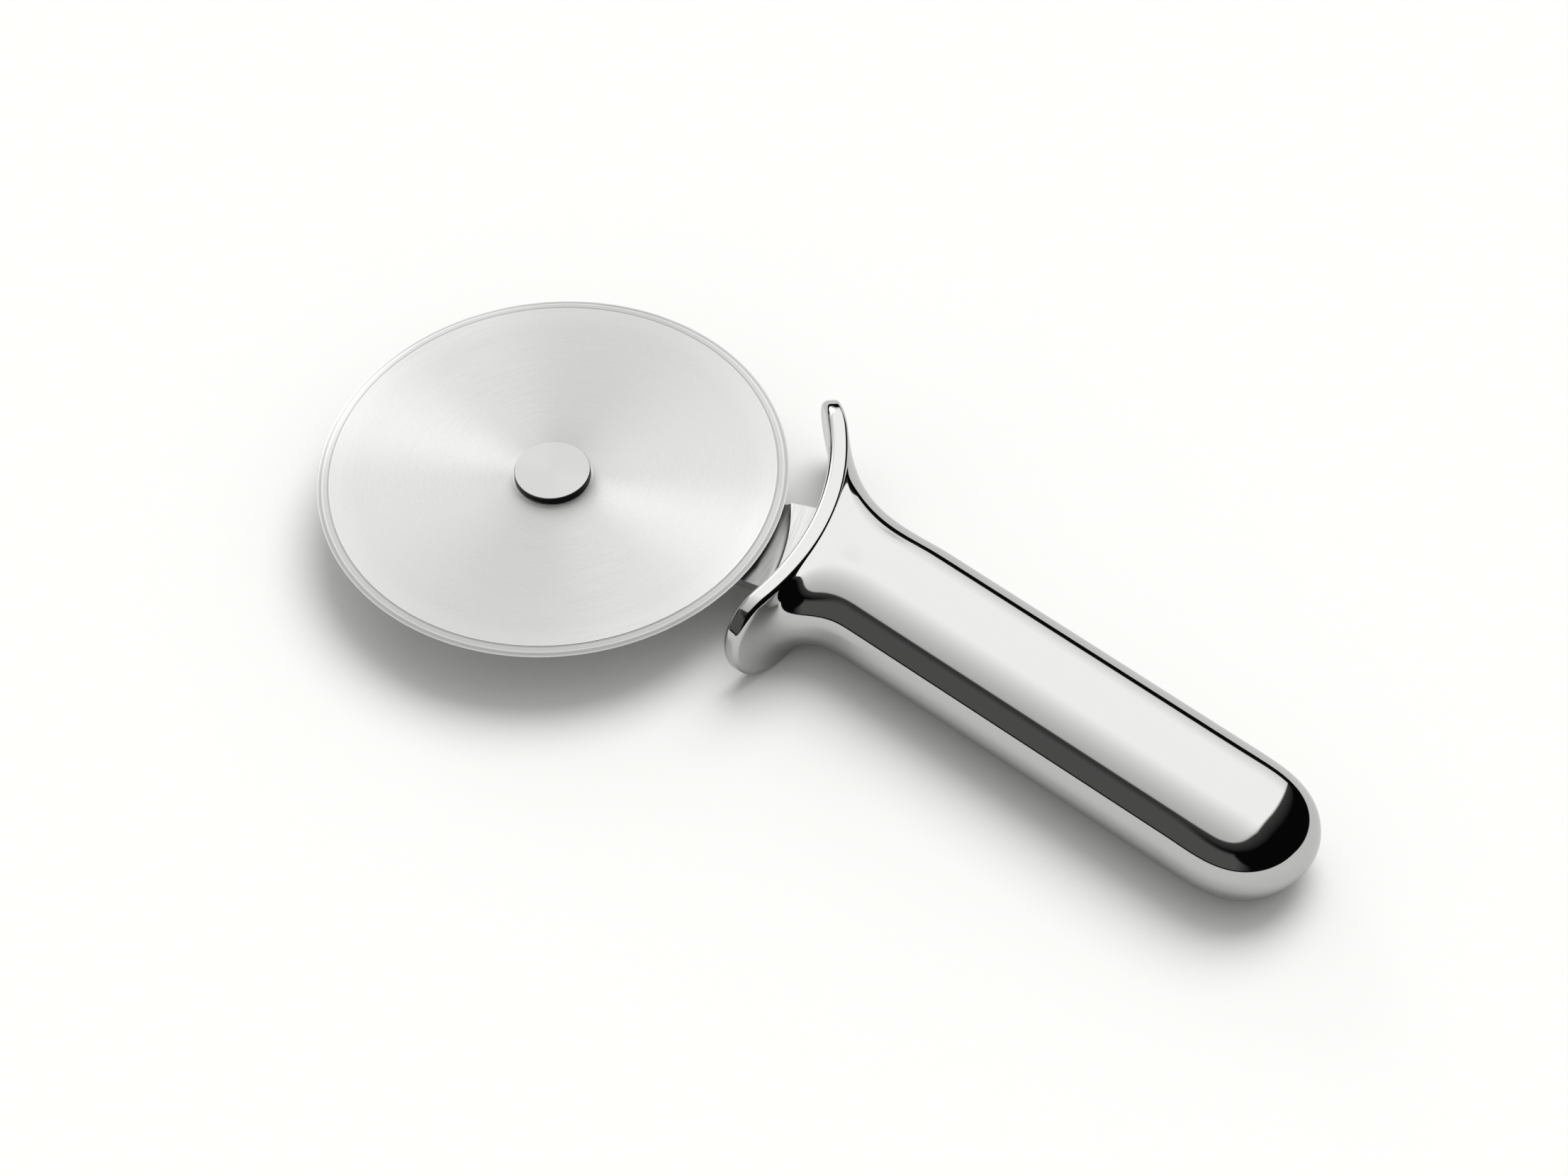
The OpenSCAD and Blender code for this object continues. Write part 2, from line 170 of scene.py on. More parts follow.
def fill_sockets(tree, made, values):
    """Links or sets input sockets, given by name (_ for a space) or as i and a number."""
    for key, value in values.items():
        by_number = key[0] == "i" and key[1:].isdigit()
        socket = made.inputs[int(key[1:]) if by_number else key.replace("_", " ")]
        if isinstance(value, bpy.types.NodeSocket):
            tree.links.new(value, socket)
        else:
            socket.default_value = value
    return made


def node(tree, kind, settings=None, **inputs):
    made = tree.nodes.new(kind)
    for key, value in (settings or {}).items():
        setattr(made, key, value)
    return fill_sockets(tree, made, inputs)


def use_group(tree, source, **inputs):
    made = tree.nodes.new("ShaderNodeGroup")
    made.node_tree = source
    return fill_sockets(tree, made, inputs)


def maths(tree, operation, *values):
    return node(
        tree, "ShaderNodeMath", {"operation": operation},
        **{f"i{i}": v for i, v in enumerate(values)},
    ).outputs[0]


def colour_ramp(tree, value, stops):
    """A colour ramp from (place, colour) stops that go up from 0 to 1."""
    made = tree.nodes.new("ShaderNodeValToRGB")
    elements = made.color_ramp.elements
    for number, (place, colour) in enumerate(stops):
        stop = elements[number] if number < 2 else elements.new(place)
        stop.position = place
        stop.color = (*colour, 1)
    tree.links.new(value, made.inputs[0])
    return made.outputs[0]


# rings left by turning or brushing round the axle: even fine lines, and longer arcs
# that come and go along their length
VALUE = "NodeSocketFloat"
turned_rings, given, out = group(
    "turned_rings",
    [("Fine Pitch", VALUE, 0.12), ("Arc Pitch", VALUE, 0.5), ("Arc Length", VALUE, 3.0)],
    [("Fine", VALUE), ("Arcs", VALUE), ("Radius", VALUE)],
)
from_axle = node(
    turned_rings, "ShaderNodeVectorMath", {"operation": "SUBTRACT"},
    i0=node(turned_rings, "ShaderNodeTexCoord").outputs["Object"],
    i1=(hub_x * MM, hub_y * MM, wheel_mid * MM),
).outputs[0]
flat = node(
    turned_rings, "ShaderNodeVectorMath", {"operation": "MULTIPLY"},
    i0=from_axle, i1=(1 / MM, 1 / MM, 0),
).outputs[0]
ring_radius = node(
    turned_rings, "ShaderNodeVectorMath", {"operation": "LENGTH"}, i0=flat,
).outputs["Value"]
round_axle = node(
    turned_rings, "ShaderNodeSeparateXYZ",
    i0=node(turned_rings, "ShaderNodeVectorMath", {"operation": "NORMALIZE"}, i0=flat).outputs[0],
)
for label, pitch in (("Fine", "Fine Pitch"), ("Arcs", "Arc Pitch")):
    across = maths(turned_rings, "DIVIDE", ring_radius, given.outputs[pitch])
    along = [
        maths(turned_rings, "MULTIPLY", round_axle.outputs[axis], given.outputs["Arc Length"])
        for axis in (0, 1)
    ]
    where = node(turned_rings, "ShaderNodeCombineXYZ", i0=across, i1=along[0], i2=along[1])
    noise = node(
        turned_rings, "ShaderNodeTexNoise",
        Vector=where.outputs[0], Scale=1.0, Detail=3.0, Roughness=0.6,
    )
    turned_rings.links.new(noise.outputs[0], out.inputs[label])
turned_rings.links.new(ring_radius, out.inputs["Radius"])


def steel(name, colour, roughness, anisotropy=0.0, metallic=1.0):
    """A plain metal: returns the material, its tree and its Principled shader."""
    material = bpy.data.materials.new(name)
    material.use_nodes = True
    tree = material.node_tree
    shader = next(n for n in tree.nodes if n.type == "BSDF_PRINCIPLED")
    shader.inputs["Base Color"].default_value = (*colour, 1)
    shader.inputs["Metallic"].default_value = metallic
    shader.inputs["Roughness"].default_value = roughness
    shader.inputs["Anisotropic"].default_value = anisotropy
    material.diffuse_color = (*colour, 1)
    return material, tree, shader


def grooved(tree, shader, fine_pitch, arc_pitch, arc_length, fine_share, height):
    """Bumps the surface with turned rings, height in millimetres. Returns the rings'
    group and their height."""
    rings = use_group(
        tree, turned_rings,
        Fine_Pitch=fine_pitch, Arc_Pitch=arc_pitch, Arc_Length=arc_length,
    )
    fine = maths(tree, "MULTIPLY", rings.outputs["Fine"], fine_share)
    arcs = maths(tree, "MULTIPLY", rings.outputs["Arcs"], 1 - fine_share)
    both = maths(tree, "ADD", fine, arcs)
    bump = node(tree, "ShaderNodeBump", Height=both, Distance=height * MM, Strength=1.0)
    tree.links.new(bump.outputs[0], shader.inputs["Normal"])
    return rings, both


def noise_between(tree, noise, low, high):
    """Spreads a noise, which stays mostly between 0.3 and 0.7, between two values."""
    return node(
        tree, "ShaderNodeMapRange",
        Value=noise, From_Min=0.3, From_Max=0.7, To_Min=low, To_Max=high,
    ).outputs[0]


def brushed_round(tree, shader):
    """Turns the long highlight of a brushed steel so that it follows the rings."""
    tangent = node(tree, "ShaderNodeTangent", {"direction_type": "RADIAL", "axis": "Z"})
    tree.links.new(tangent.outputs[0], shader.inputs["Tangent"])
    shader.inputs["Anisotropic Rotation"].default_value = 0.25


brushed_wheel, tree, shader = steel("brushed_wheel_steel", (0.80, 0.80, 0.795), 0.387, 1.0)
rings, both = grooved(tree, shader, 0.17, 0.5, 3.0, 0.5, 0.03)
# painted light in rings round the axle, as (distance inside the edge, lightness), from the hub to
# the edge: a painted highlight just outside the cap, painted shade near the hub, the face lighter
# towards the rim, a painted highlight and then painted shade at the step where the bevel starts,
# and painted highlights near the hone's start and at the very edge
hub_edge = wheel_r - radius_mm("hub_cap")
painted_rim_light = [
    (hub_edge, 0.98), (hub_edge - 0.35, 0.98), (hub_edge - 0.5, 0.75),
    (hub_edge - 9, 0.80), (8.0, 0.825), (4.5, 0.86), (2.75, 0.86),
    (2.6, 0.93), (2.45, 0.93), (2.38, 0.5), (2.2, 0.5), (2.1, 0.74), (1.25, 0.76),
    (1.15, 0.97), (1.0, 0.97), (0.9, 0.64), (0.35, 0.66), (0.25, 0.95), (0.0, 0.97),
]
reach, warmth = hub_edge + 1, 0.995
outward = node(
    tree, "ShaderNodeMapRange",
    Value=rings.outputs["Radius"], From_Min=wheel_r - reach, From_Max=wheel_r,
).outputs[0]
painted_light_bands = colour_ramp(tree, outward, [
    (1 - inside_edge / reach, (light, light, light * warmth))
    for inside_edge, light in painted_rim_light
])
# the wheel's colour: the painted highlights and shade in rings, times the brushed noise
brushed_and_painted_colour = node(
    tree, "ShaderNodeMix", {"data_type": "RGBA", "blend_type": "MULTIPLY"},
    i0=1.0, i6=painted_light_bands, i7=noise_between(tree, both, 0.86, 1.12),
)
tree.links.new(brushed_and_painted_colour.outputs[2], shader.inputs["Base Color"])
tree.links.new(noise_between(tree, both, 0.33, 0.44), shader.inputs["Roughness"])
brushed_round(tree, shader)
blade.data.materials.append(brushed_wheel)


# The bush: a plain bearing turned from brass and pressed in the wheel, flush with both
# its faces. It turns with the wheel, on the axle.

bush_low, bush_high = box_mm("blade_bush")
axle_hole_r = 3.05


def flat_ring(name, low, high, outer_r, steps, body, replaced, edge):
    """A plain ring round the axle, between two heights."""
    return spun_piece(
        name,
        [(axle_hole_r, low), (outer_r, low), (outer_r, high), (axle_hole_r, high)],
        steps, body, replaced, edge,
    )


bush = flat_ring(
    "wheel_bush", bush_low[2], bush_high[2], bush_r, 96,
    "wheel", ["blade_bush"], 0.1,
)
brass, tree, shader = steel("turned_brass", (0.78, 0.6, 0.3), 0.3, 0.5)
grooved(tree, shader, 0.08, 0.3, 2.0, 0.6, 0.004)
bush.data.materials.append(brass)


# The two thrust washers: stamped stainless rings, one under the cap and one on the
# arm. They stay with the axle while the wheel turns.

stamped, tree, shader = steel("stamped_washer_steel", (0.62, 0.62, 0.61), 0.38, 0.3)
grooved(tree, shader, 0.1, 0.4, 4.0, 0.5, 0.006)
for washer in ("front_washer", "back_washer"):
    low, high = box_mm(washer)
    made = flat_ring(
        "thrust_" + washer, low[2], high[2], radius_mm(washer), 128,
        "handle", [washer], 0.06,
    )
    made.data.materials.append(stamped)


# The hub cap: turned in one piece with the axle and faced to a bright finish, with a
# small chamfer round its edge. The axle goes down through the wheel into the arm.

cap_low, cap_high = box_mm("hub_cap")
cap_r = radius_mm("hub_cap")
cap_t, cap_chamfer, cap_under_chamfer, cap_mid_share = 1.55, 0.15, 0.1, 0.5
stem_r, tap_r, tap_depth, drill_tip = 3.0, 1.55, 3.55, 0.4
cap = spun_piece(
    "hub_cap_axle",
    [
        (0.0, cap_high[2]),
        (cap_r * cap_mid_share, cap_high[2]),
        (cap_r - cap_chamfer, cap_high[2]),
        (cap_r, cap_high[2] - cap_chamfer),
        (cap_r, cap_high[2] - cap_t + cap_under_chamfer),
        (cap_r - cap_under_chamfer, cap_high[2] - cap_t),
        (stem_r, cap_high[2] - cap_t),
        (stem_r, cap_low[2]),
        (tap_r, cap_low[2]),
        (tap_r, cap_low[2] + tap_depth),
        (0.0, cap_low[2] + tap_depth + drill_tip),
    ],
    256, "handle", ["hub_cap"], edge=0.03,
)
faced, tree, shader = steel("faced_cap_steel", (0.53, 0.53, 0.53), 0.22, 0.75)
grooved(tree, shader, 0.06, 0.4, 1.2, 0.5, 0.001)
brushed_round(tree, shader)
cap.data.materials.append(faced)
# the cap's side gets a nearly black steel: painted shade, which stands in for the dark ring of
# shade round the cap
cap_side_shade, tree, shader = steel("painted_shade_cap_side", (0.02, 0.02, 0.02), 0.45)
grooved(tree, shader, 0.1, 0.4, 3.0, 0.5, 0.003)
cap.data.materials.append(cap_side_shade)
# faces on the cap's side, below its chamfer, take the painted shade
side_band = 0.2
for face in cap.data.polygons:
    from_axle_m = math.hypot(face.center.x - hub_x * MM, face.center.y - hub_y * MM)
    below_chamfer = face.center.z < (cap_high[2] - cap_chamfer) * MM
    if below_chamfer and from_axle_m > (cap_r - side_band) * MM:
        face.material_index = 1


# The axle screw: a countersunk screw with a hexagon socket, flush with the boss under
# the arm. It pulls the axle down into its seat.

screw_low, screw_high = box_mm("axle_screw")
screw_z = screw_low[2]
head_r, shank_r, head_chamfer, head_land, tip_chamfer = 2.8, 1.5, 0.1, 0.06, 0.2
socket_half, socket_depth, socket_chamfer, bit_depth = 1.0, 1.2, 0.08, 1.45
screw_steps = 144
toward_flat = (np.arange(screw_steps) * 360 / screw_steps) % 60 - 30
socket_r = socket_half / np.cos(np.radians(toward_flat))
screw = spun_piece(
    "axle_screw_head",
    [
        (0.0, screw_z + bit_depth),
        (socket_r, screw_z + socket_depth),
        (socket_r, screw_z + socket_chamfer),
        (socket_r + socket_chamfer, screw_z),
        (head_r - head_chamfer, screw_z),
        (head_r, screw_z + head_land),
        (shank_r, screw_z + head_r - shank_r + head_land),
        (shank_r, screw_high[2] - tip_chamfer),
        (shank_r - tip_chamfer, screw_high[2]),
        (0.0, screw_high[2]),
    ],
    screw_steps, "handle", ["axle_screw"],
)
bright_screw, tree, shader = steel("machined_screw_steel", (0.7, 0.7, 0.69), 0.25, 0.4)
grooved(tree, shader, 0.07, 0.25, 2.0, 0.5, 0.003)
screw.data.materials.append(bright_screw)


# The arm: a stainless forging that carries the wheel on one side. Its scoop clears the
# wheel's rim and is brushed round the axle; a raised land meets the guard.

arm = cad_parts["arm"]
arm.data.shade_smooth()
arm.data.set_sharp_from_angle(angle=math.radians(25))
break_edges(arm, 0.12, 40)
satin, tree, shader = steel("satin_forged_steel", (0.62, 0.62, 0.615), 0.33, 0.7)
rings, both = grooved(tree, shader, 0.1, 0.45, 6.0, 0.4, 0.02)
# everything below the land, the scoop under the wheel's rim included, is painted darker than the
# land: painted shade
land_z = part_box("arm")[1][2]
scoop_painted_shade, land_light, scoop_drop, land_drop = 0.33, 0.62, 0.3, 0.05
height_z = node(
    tree, "ShaderNodeSeparateXYZ", i0=node(tree, "ShaderNodeTexCoord").outputs["Object"],
).outputs[2]
on_land = node(
    tree, "ShaderNodeMapRange", Value=height_z,
    From_Min=land_z - scoop_drop * MM, From_Max=land_z - land_drop * MM,
    To_Min=scoop_painted_shade, To_Max=land_light,
).outputs[0]
arm_colour = maths(tree, "MULTIPLY", on_land, noise_between(tree, both, 0.75, 1.25))
tree.links.new(arm_colour, shader.inputs["Base Color"])
tree.links.new(noise_between(tree, both, 0.26, 0.42), shader.inputs["Roughness"])
arm.data.materials.clear()
arm.data.materials.append(satin)


# The hollow handle: two pressed shells, welded, ground and polished to a mirror as one
# skin. Its front flares into the guard, which follows an arc round the wheel's axle.

guard_gap, guard_t, guard_w, guard_spread, guard_shift = 8.8, 4.2, 71.7, 0.8, 3.1
guard_h, guard_corner, guard_front_r = 22.6, 10.6, 1.5
guard_back_r, guard_back_l, rim_wall, weld_gap = 0.8, 1.3, 2.0, 0.05
grip_front_w, grip_front_h, grip_rear_w, grip_rear_h = 31.6, 23.2, 32.5, 24.0
axis_y, grip_lean, wall_t = 21.9, 0.4, 1.3
handle_l, flare_l, dome_l = 138.5, 25.2, 23.5
# a shallow crease behind the guard's band, and the length in which the flare rises from it
crease_depth, crease_run = 0.42, 22.0
# powers of the ovals that shape the grip's section, the flare's wings and the dome
grip_power, near_power, far_power, arc_power = 2.3, 2.6, 3.8, 3.2
soften_power, rim_soft, dome_power, dome_blunt_power = 1.5, 0.35, 2.06, 2.9
flare_spacing_power = 1.5
guard_r = wheel_r + guard_gap
guard_back = guard_r + guard_t
guard_mid = guard_r * math.asin(axis_y / guard_r) + guard_shift
face_x = math.sqrt(guard_r ** 2 - axis_y ** 2)
grip_x, end_x = face_x + flare_l, face_x + handle_l
dome_x = end_x - dome_l
AROUND = 256


def mix(a, b, share):
    return a + (b - a) * share


def smooth(share):
    return share * share * (3 - 2 * share)


def rim_station(inset, r, rounded, sunk=0.0):
    """A section of the guard's rim: half width, half height, corner, softness, middle
    along the arc, middle z, arc radius, share of the arc, flat x."""
    growth = guard_spread * (r - guard_r)
    return (mix(guard_w + growth, guard_w - 2 * guard_back_r, rounded) / 2 - inset,
            guard_h / 2 - inset - sunk, guard_corner - inset, rim_soft * rounded,
            guard_mid + mix(growth, 0, rounded) / 2, guard_h / 2, r, 1, 0)


def handle_stations(rim_inset, inset, edge, rim, flare, grip, dome, crease=0.0):
    """Sections from the guard's front to the dome's tip. rim, flare, grip and dome are
    the numbers of sections in each part."""
    made = []
    back_r = guard_back - inset
    round_l = min(guard_back_l, back_r - guard_r - guard_front_r - weld_gap)
    for turn in np.linspace(0, math.pi / 2, rim):
        made.append(rim_station(rim_inset + edge * (1 - math.sin(turn)),
                                guard_r + guard_front_r * (1 - math.cos(turn)), 0))
    for turn in np.linspace(0, math.pi / 2, rim):
        made.append(rim_station(rim_inset, back_r - round_l * (1 - math.sin(turn)),
                                1 - math.cos(turn), crease * (1 - math.cos(turn))))
    for along in np.linspace(0, 1, flare + 1)[1:] ** flare_spacing_power:
        turn = along * math.pi / 2
        far = mix(axis_y + grip_front_w / 2, guard_mid + guard_w / 2 - guard_back_r,
                  1 - math.sin(turn) ** (2 / far_power))
        near = mix(axis_y - grip_front_w / 2, guard_mid - guard_w / 2 + guard_back_r,
                   1 - math.sin(turn) ** (2 / near_power))
        arc = math.cos(turn) ** (2 / arc_power) if along < 1 else 0
        ease = smooth(min(1, flare_l * (1 - arc) / crease_run))
        height = mix(guard_h / 2 - crease, grip_front_h / 2, ease)
        made.append(((far - near) / 2 - inset, height - inset, guard_corner - inset,
                     1 - (1 - rim_soft) * (1 - along) ** soften_power, (far + near) / 2,
                     mix(guard_h, grip_front_h, ease) / 2, back_r, arc, grip_x))
    for along in np.linspace(0, 1, grip + 1)[1:]:
        height = mix(grip_front_h, grip_rear_h, along) / 2
        made.append((mix(grip_front_w, grip_rear_w, along) / 2 - inset, height - inset,
                     guard_corner - inset, 1, axis_y + grip_lean * along, height, back_r,
                     0, mix(grip_x, dome_x, along)))
    for along in np.linspace(0, 1, dome + 1)[1:]:
        turn = along * math.pi / 2
        k = math.cos(turn) ** (2 / dome_power) if along < 1 else 0
        made.append(((grip_rear_w / 2 - inset) * k, (grip_rear_h / 2 - inset) * k,
                     guard_corner * k, 1, axis_y + grip_lean, grip_rear_h / 2, back_r, 0,
                     dome_x + (dome_l - inset) * math.sin(turn) ** (2 / dome_blunt_power)))
    return np.array(made, float)


def round_the_section(steps):
    """Headings once round a section, closer together at its four corners."""
    corner_share = 0.45
    turn = np.arange(steps) * 2 * math.pi / steps
    return turn + corner_share / 4 * np.sin(4 * turn)


def handle_skin(stations, steps):
    """Points of the sections, one row each, in millimetres. Each section goes from a
    box with round corners to an oval by its softness."""
    no_length, no_share = 1e-12, 1e-9
    turn = round_the_section(steps)
    cos, sin = np.cos(turn)[None], np.sin(turn)[None]
    c, s = np.abs(cos), np.abs(sin)
    a, b, r, soft, mid, mid_z, arc_r, arc, flat_x = (stations[:, i:i + 1] for i in range(9))
    dy, dz, cy, cz = a * c, b * s, a - r, b - r
    dd, dc = dy * dy + dz * dz + no_length, dy * cy + dz * cz
    corner = (dc + np.sqrt(np.maximum(dc * dc - dd * (cy * cy + cz * cz - r * r), 0))) / dd
    box = np.where(dy <= cy * s, 1 / np.maximum(s, no_share),
                   np.where(dz <= cz * c, 1 / np.maximum(c, no_share), corner))
    oval = (c ** grip_power + s ** grip_power) ** (-1 / grip_power)
    reach = mix(box, oval, soft)
    return bent(mid + a * cos * reach, mid_z + b * sin * reach, arc_r, arc, flat_x)


def bent(across, z, arc_r, arc=1.0, flat_x=0.0):
    """Points whose width lies along an arc round the axle, for a share of the way."""
    x = mix(flat_x, arc_r * np.cos(across / arc_r), arc)
    y = mix(across, arc_r * np.sin(across / arc_r), arc)
    return np.stack(np.broadcast_arrays(hub_x + x, hub_y + y, z), -1)


outside = handle_skin(
    handle_stations(0, 0, guard_front_r, 12, 120, 24, 56, crease_depth), AROUND)
inside = handle_skin(handle_stations(rim_wall, wall_t, 0, 3, 50, 8, 20), AROUND)
skin = np.concatenate([inside[::-1].reshape(-1, 3), outside.reshape(-1, 3)])
handle = mesh_piece(
    "handle_skin", skin, loop_faces(len(inside) + len(outside), AROUND),
    "handle", ["handle_upper_shell", "handle_lower_shell"],
    smooth_angle=50,
)
mirror, tree, shader = steel("mirror_polished_steel", (0.63, 0.63, 0.625), 0.05)
handle.data.materials.append(mirror)


# The guard's plate: fills the mouth of the handle in front, welded in and polished
# flush. The arm's tang goes through its slot.

plate_t, front_rings, back_rings = 2.0, 14, 4
slot_half_w, slot_half_h, slot_z, slot_angle = 8.08, 1.55, 12.5, math.radians(19.2)
turn = round_the_section(AROUND)
straight = np.maximum(np.abs(np.cos(turn)), np.abs(np.sin(turn)))
slot_line = np.stack([guard_r * slot_angle + slot_half_w * np.cos(turn) / straight,
                      slot_z + slot_half_h * np.sin(turn) / straight], 1)
mouth_x, mouth_y, mouth_z = (
    handle_skin(np.array([rim_station(rim_wall, guard_r, 0)]), AROUND)[0]
    - [hub_x, hub_y, 0]
).T
mouth = np.stack([guard_r * np.arctan2(mouth_y, mouth_x), mouth_z], 1)
rows = []
for r, shares in ((guard_r, np.linspace(0, 1, front_rings)),
                  (guard_r + plate_t, np.linspace(1, 0, back_rings))):
    for share in shares:
        line = mix(mouth, slot_line, share)
        rows.append(bent(line[:, 0] * r / guard_r, line[:, 1], r))
plate = mesh_piece(
    "guard_face_plate", np.concatenate(rows), loop_faces(len(rows), AROUND, closed=True),
    "handle", ["guard_plate"],
)
plate.data.materials.append(mirror)


# The filler: resin cast in the throat of the handle, round the arm's tang. It is
# hidden behind the guard's plate.

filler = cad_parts["tang_filler"]
resin, tree, shader = steel("cast_resin", (0.55, 0.45, 0.32), 0.6, metallic=0.0)
cloud = node(tree, "ShaderNodeTexNoise", Scale=180.0, Detail=4.0).outputs[0]
tree.links.new(noise_between(tree, cloud, 0.5, 0.7), shader.inputs["Roughness"])
filler.data.materials.clear()
filler.data.materials.append(resin)


# The table: a white sheet, large enough to fill the view and the lower half of every
# reflection, and with a soft shadow under the cutter.

table_r, table_steps = 600.0, 96
mesh = bpy.data.meshes.new("table")
build = bmesh.new()
build.faces.new([
    build.verts.new((math.cos(t) * table_r * MM, math.sin(t) * table_r * MM, 0))
    for t in np.arange(table_steps) * 2 * math.pi / table_steps
])
build.to_mesh(mesh)
build.free()
table = bpy.data.objects.new("table", mesh)
bpy.context.scene.collection.objects.link(table)
sheet, tree, shader = steel("white_sheet", (0.93, 0.93, 0.91), 1.0, metallic=0.0)
shader.inputs["Specular IOR Level"].default_value = 0.0
# polished steel sees the sheet a little darker than the camera does
paper = node(
    tree, "ShaderNodeMix", {"data_type": "RGBA"},
    i0=node(tree, "ShaderNodeLightPath").outputs["Is Glossy Ray"],
    i6=(0.93, 0.93, 0.915, 1), i7=(0.71, 0.71, 0.71, 1),
)
tree.links.new(paper.outputs[2], shader.inputs["Base Color"])
table.data.materials.append(sheet)


# The studio: a wide softbox overhead that leans away from the camera, and two tall
# panels to its left, in a dark room with a grey wall on the camera's side.

studio = bpy.data.worlds.new("studio")
bpy.context.scene.world = studio
studio.use_nodes = True
tree = studio.node_tree
tree.nodes.clear()
ax, ay, az = node(
    tree, "ShaderNodeSeparateXYZ", i0=node(tree, "ShaderNodeTexCoord").outputs["Generated"],
).outputs


def ramp(value, start, end, low=0.0, high=1.0, kind="LINEAR"):
    """Goes from low to high while the value goes from start to end."""
    return node(tree, "ShaderNodeMapRange", {"interpolation_type": kind, "clamp": True},
                Value=value, From_Min=start, From_Max=end, To_Min=low, To_Max=high).outputs[0]


def times(first, *others):
    for other in others:
        first = maths(tree, "MULTIPLY", first, other)
    return first


def plus(a, b):
    return maths(tree, "ADD", a, b)


def minus(a, b):
    return maths(tree, "SUBTRACT", a, b)


def times_plus(a, b, c):
    return maths(tree, "MULTIPLY_ADD", a, b, c)


def at_least(a, b):
    return maths(tree, "MAXIMUM", a, b)


# where a ray meets a ceiling at unit height: the softbox's edges are straight there
horizon = 0.001
height = at_least(az, horizon)
ceiling_x = maths(tree, "DIVIDE", ax, height)
ceiling_y = maths(tree, "DIVIDE", ay, height)

# the right and near edges of the softbox, which meet in a round corner
bend_from, right_slant = 0.15, 0.30
right_x, near_y, corner_r, edge_blur = 0.28, -0.62, 0.52, 0.03
far_part = at_least(minus(ceiling_y, bend_from), 0.0)
slanted = times_plus(far_part, right_slant, ceiling_x)
past_right = at_least(minus(slanted, right_x - corner_r), 0.0)
past_near = at_least(minus(near_y + corner_r, ceiling_y), 0.0)
past_corner = node(
    tree, "ShaderNodeVectorMath", {"operation": "LENGTH"},
    i0=node(tree, "ShaderNodeCombineXYZ", i0=past_right, i1=past_near).outputs[0],
).outputs["Value"]
beyond = minus(past_corner, corner_r)
front_edges = ramp(beyond, edge_blur, -edge_blur)

# its far edge, its lowest height, and how it fades to the right and to the left
far_slanted = plus(times(ceiling_x, 0.933), times(ceiling_y, 0.359))
far_edge = ramp(far_slanted, 0.93, 0.88)
above = ramp(az, 0.145, 0.165)
beside = ramp(ceiling_x, 0.42, 0.16, 0.6, 1.0)
left_level = 0.8
in_box = at_least(ramp(ceiling_x, -0.95, -0.80),
                  ramp(times_plus(ceiling_y, 0.6, ceiling_x), -0.70, -0.50))

# its brightness from the near edge to the far one: (distance on the ceiling, level)
box_levels = [
    (-0.60, 0.60), (-0.43, 0.68), (-0.27, 0.75), (-0.13, 0.86), (0.01, 0.98), (0.16, 1.16),
    (0.30, 1.33), (1.50, 1.33), (2.10, 1.19), (3.20, 1.05), (6.20, 0.92),
]
brightest, nearest, farthest = 1.5, -0.7, math.pi / 2
glow = colour_ramp(
    tree, ramp(maths(tree, "ARCTANGENT", ceiling_y), nearest, farthest),
    [((math.atan(y) - nearest) / (farthest - nearest), (level / brightest,) * 3)
     for y, level in box_levels],
)
softbox = times(glow, brightest, front_edges, far_edge, above, beside,
                times_plus(in_box, 1 - left_level, left_level))

# a dark gap left of the softbox, then a panel, then a brighter strip beside it
bearing = maths(tree, "ARCTAN2", ay, ax)


def from_to(start, end):
    """Goes from 0 to 1 between two bearings, in degrees."""
    return ramp(bearing, math.radians(start), math.radians(end))


panel_level, strip_level = 1.3, 3.0
gap = times(from_to(122, 127), ramp(az, 0.34, 0.26))
in_strip = from_to(149, 151)
panel = times(from_to(136, 141), minus(1.0, in_strip),
              times(ramp(az, 0.15, 0.22), ramp(az, 0.60, 0.50)))
strip = times(in_strip, from_to(172, 160),
              times(ramp(az, 0.15, 0.22), ramp(az, 0.62, 0.45)))
lamps = times(softbox, minus(1.0, gap))
lamps = plus(lamps, times(panel, panel_level))
lamps = plus(lamps, times(strip, strip_level))

# the grey wall with its sloping top, the softbox's spill round its edges, and the room
wall_level, spill_level, spill_reach, room_level = 0.10, 0.06, 0.45, 0.003
wall_top = plus(at_least(minus(ax, 0.30), 0.0), az)
wall = times(ramp(wall_top, 0.70, 0.60), ramp(ay, -0.25, -0.45), ramp(ax, 0.75, 0.45),
             ramp(az, 0.02, 0.05, 0.0, wall_level))
spill = times(ramp(beyond, 0.0, spill_reach, spill_level, 0.0), ramp(az, 0.10, 0.25))
room = plus(plus(lamps, wall),
            times_plus(spill, ramp(beyond, -edge_blur, 0.0), room_level))

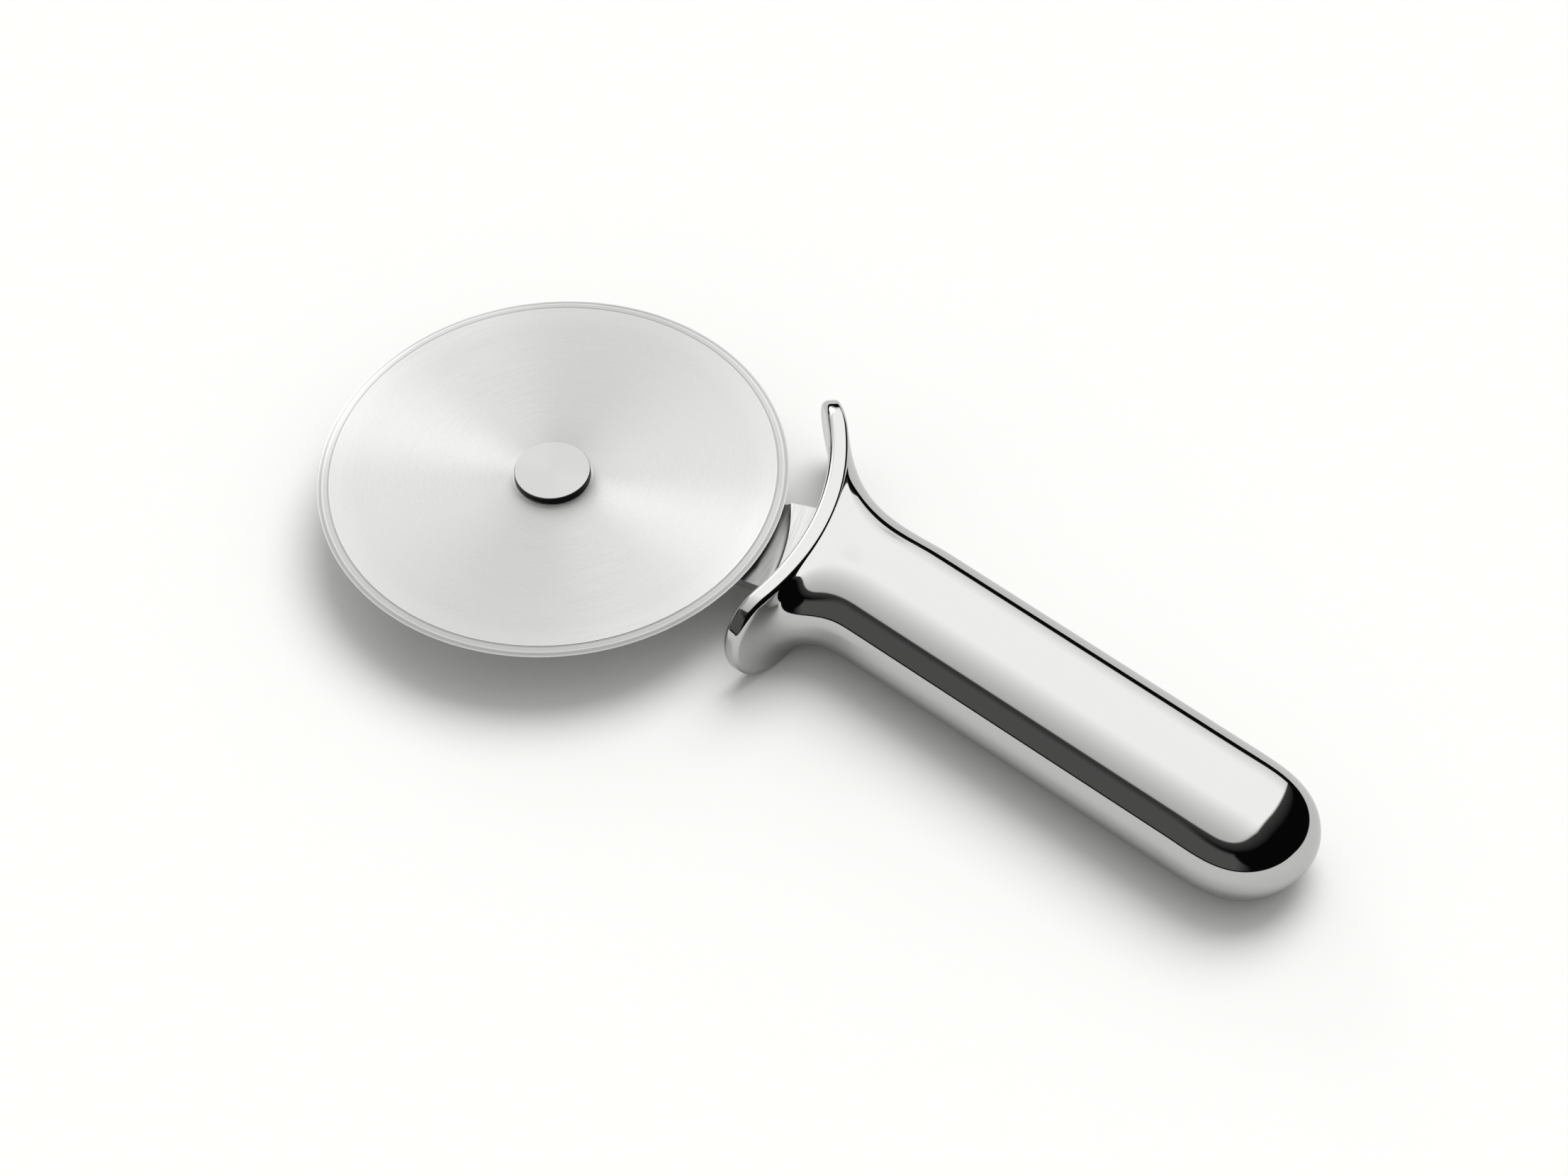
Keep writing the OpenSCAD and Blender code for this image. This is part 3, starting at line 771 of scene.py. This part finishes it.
# matt surfaces get an even light that is stronger above and beyond the cutter, and the
# camera sees a white background
fill_level, above_level, backdrop_level = 0.42, 0.52, 0.97
above_far = times(ramp(az, 0.40, 0.92, kind="SMOOTHSTEP"), ramp(ay, -0.25, 0.05))
light_path = node(tree, "ShaderNodeLightPath")
fill = node(
    tree, "ShaderNodeMix", {"data_type": "FLOAT"}, i0=light_path.outputs["Is Diffuse Ray"],
    i2=room, i3=times_plus(above_far, above_level, fill_level),
)
seen = node(
    tree, "ShaderNodeMix", {"data_type": "FLOAT"}, i0=light_path.outputs["Is Camera Ray"],
    i2=fill.outputs[0], i3=backdrop_level,
)
background = node(
    tree, "ShaderNodeBackground", Color=(1.0, 1.0, 0.988, 1.0), Strength=seen.outputs[0])
node(tree, "ShaderNodeOutputWorld", Surface=background.outputs[0])
studio.cycles.sampling_method = "MANUAL"
studio.cycles.sample_map_resolution = 1024


# The broad lamp: stands beyond the cutter and lights the matt surfaces and the table.
# Polished steel doesn't show it.

key_data = bpy.data.lights.new("broad_lamp", "SUN")
key_data.energy = 1.63
key_data.angle = math.radians(46)
key = bpy.data.objects.new("broad_lamp", key_data)
bpy.context.scene.collection.objects.link(key)
key.rotation_mode = "QUATERNION"
key.rotation_quaternion = Vector((-0.10, 0.50, 0.86)).to_track_quat("Z", "Y")
key.visible_glossy = False


# The camera: a long lens from the near side, about 49 degrees above the table. Its
# picture axes follow the lines of the photographed cutter.

view_mm, camera_far, sensor_w, px_per_mm = 331.1, 6000.0, 36.0, 6.68
picture_middle, hub_in_picture = (1106.0, 829.5), (780.0, 671.6)
rise, roll = math.radians(48.68), math.radians(-5.77)
camera_data = bpy.data.cameras.new("camera")
camera_data.sensor_width = sensor_w
camera_data.lens = sensor_w * camera_far / view_mm
camera_data.clip_start, camera_data.clip_end = 0.1, 50.0
camera = bpy.data.objects.new("camera", camera_data)
bpy.context.scene.collection.objects.link(camera)
bpy.context.scene.camera = camera
across_flat = np.array([0.679, 0.7341, 0.0])
across_flat /= np.linalg.norm(across_flat)
back = np.array([across_flat[1] * math.cos(rise), -across_flat[0] * math.cos(rise),
                 math.sin(rise)])
up = np.cross(back, across_flat)
right_axis = across_flat * math.cos(roll) + up * math.sin(roll)
up_axis = -across_flat * math.sin(roll) + up * math.cos(roll)
hub_to_middle = (np.array(picture_middle) - hub_in_picture) / px_per_mm
centre = (np.array([hub_x, hub_y, wheel_top])
          + right_axis * hub_to_middle[0] - up_axis * hub_to_middle[1])
stand = (centre + back * camera_far) * MM
camera.matrix_world = Matrix((
    *((right_axis[i], up_axis[i], back[i], stand[i]) for i in range(3)),
    (0, 0, 0, 1),
))
bpy.context.scene.view_settings.view_transform = "Standard"
